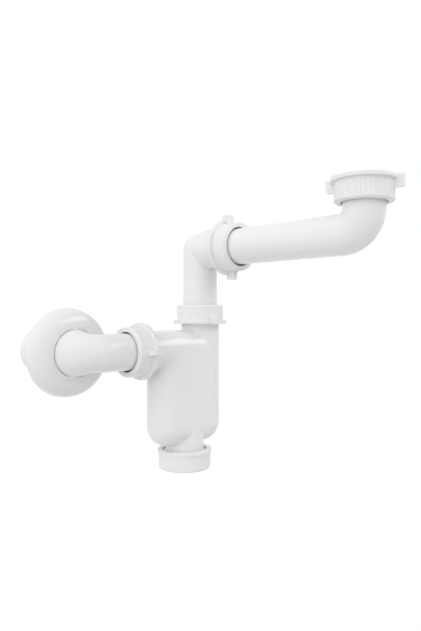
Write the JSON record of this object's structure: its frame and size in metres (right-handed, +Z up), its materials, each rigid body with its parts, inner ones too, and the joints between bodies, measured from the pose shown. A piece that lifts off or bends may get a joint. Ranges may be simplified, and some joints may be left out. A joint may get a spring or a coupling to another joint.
{
  "type": "basin trap",
  "caption": "Space-saving basin trap with a long basin pipe, riser elbow, flat water-seal body with clean-out cap, and an outlet pipe with wall rosette.",
  "frame": {"origin": "centre of the basin nut's rim, where the basin waste's threaded tail enters", "axes": "+Z up along the basin waste, +Y into the wall along the spigot, +X to the right facing the wall"},
  "size_m": [0.1876, 0.2823, 0.2427],
  "materials": {
    "white_plastic": "glossy white moulded polypropylene",
    "black_rubber": "soft matt black sealing rubber",
    "black_plastic": "hard black slip ring"
  },
  "bodies": {
    "long_pipe": {"inlet_pipe": "white_plastic", "basin_gasket": "black_rubber"},
    "basin_nut": {"basin_nut": "white_plastic"},
    "riser_seal": {"riser_cone_seal": "black_rubber"},
    "elbow": {"riser_elbow": "white_plastic"},
    "riser_ring": {"riser_thrust_ring": "black_plastic"},
    "riser_nut": {"riser_nut": "white_plastic"},
    "inlet_seal": {"inlet_cone_seal": "black_rubber"},
    "trap": {"trap_body": "white_plastic"},
    "inlet_ring": {"inlet_thrust_ring": "black_plastic"},
    "inlet_nut": {"inlet_nut": "white_plastic"},
    "outlet_seal": {"outlet_cone_seal": "black_rubber"},
    "outlet": {"outlet_pipe": "white_plastic"},
    "outlet_ring": {"outlet_thrust_ring": "black_plastic"},
    "outlet_nut": {"outlet_nut": "white_plastic"},
    "rosette": {"wall_rosette": "white_plastic"},
    "cap_ring": {"cap_gasket": "black_rubber"},
    "cap": {"cleanout_cap": "white_plastic"}
  },
  "joints": [
    {"name": "basin_nut_turn", "type": "hinge", "parent": "long_pipe", "child": "basin_nut", "pos_m": [0, 0, -0.009], "axis": [0, 0, 1], "continuous": true},
    {"name": "reach_slide", "type": "slide", "parent": "long_pipe", "child": "riser_seal", "axis": [0, 1, 0], "range_m": [-0.0085, 0.014]},
    {"name": "riser_swivel", "type": "hinge", "parent": "riser_seal", "child": "elbow", "pos_m": [0, 0.1778, -0.0406], "axis": [0, 1, 0], "continuous": true},
    {"name": "riser_ring_slide", "type": "slide", "parent": "elbow", "child": "riser_ring", "axis": [0, -1, 0], "range_m": [0, 0.0106]},
    {"name": "riser_nut_turn", "type": "hinge", "parent": "riser_ring", "child": "riser_nut", "pos_m": [0, 0.1778, -0.0406], "axis": [0, -1, 0], "range_deg": [0, 1260]},
    {"name": "height_slide", "type": "slide", "parent": "elbow", "child": "inlet_seal", "axis": [0, 0, 1], "range_m": [-0.028, 0.022]},
    {"name": "trap_swivel", "type": "hinge", "parent": "inlet_seal", "child": "trap", "pos_m": [0, 0.1778, -0.1097], "axis": [0, 0, 1], "continuous": true},
    {"name": "inlet_ring_slide", "type": "slide", "parent": "trap", "child": "inlet_ring", "axis": [0, 0, 1], "range_m": [0, 0.0106]},
    {"name": "inlet_nut_turn", "type": "hinge", "parent": "inlet_ring", "child": "inlet_nut", "pos_m": [0, 0.1778, -0.1097], "axis": [0, 0, 1], "range_deg": [0, 1260]},
    {"name": "outlet_swivel", "type": "hinge", "parent": "trap", "child": "outlet_seal", "pos_m": [-0.0694, 0.1778, -0.1334], "axis": [-1, 0, 0], "continuous": true},
    {"name": "outlet_slide", "type": "slide", "parent": "outlet_seal", "child": "outlet", "axis": [-1, 0, 0], "range_m": [-0.003, 0.009]},
    {"name": "outlet_ring_slide", "type": "slide", "parent": "trap", "child": "outlet_ring", "axis": [-1, 0, 0], "range_m": [0, 0.0031]},
    {"name": "outlet_nut_turn", "type": "hinge", "parent": "outlet_ring", "child": "outlet_nut", "pos_m": [-0.0694, 0.1778, -0.1334], "axis": [-1, 0, 0], "range_deg": [0, 360]},
    {"name": "rosette_slide", "type": "slide", "parent": "outlet", "child": "rosette", "axis": [0, 1, 0], "range_m": [0, 0.044]},
    {"name": "cap_gasket_slide", "type": "slide", "parent": "trap", "child": "cap_ring", "axis": [0, 0, -1], "range_m": [0, 0.0106]},
    {"name": "cap_turn", "type": "hinge", "parent": "cap_ring", "child": "cap", "pos_m": [-0.0197, 0.1778, -0.2251], "axis": [0, 0, -1], "range_deg": [0, 1260]}
  ],
  "couplings": [
    {"joint": "riser_ring_slide", "follows": "riser_nut_turn", "m_per_rad": 0.00047746},
    {"joint": "inlet_ring_slide", "follows": "inlet_nut_turn", "m_per_rad": 0.00047746},
    {"joint": "outlet_ring_slide", "follows": "outlet_nut_turn", "m_per_rad": 0.00047746},
    {"joint": "cap_gasket_slide", "follows": "cap_turn", "m_per_rad": 0.00047746}
  ]
}
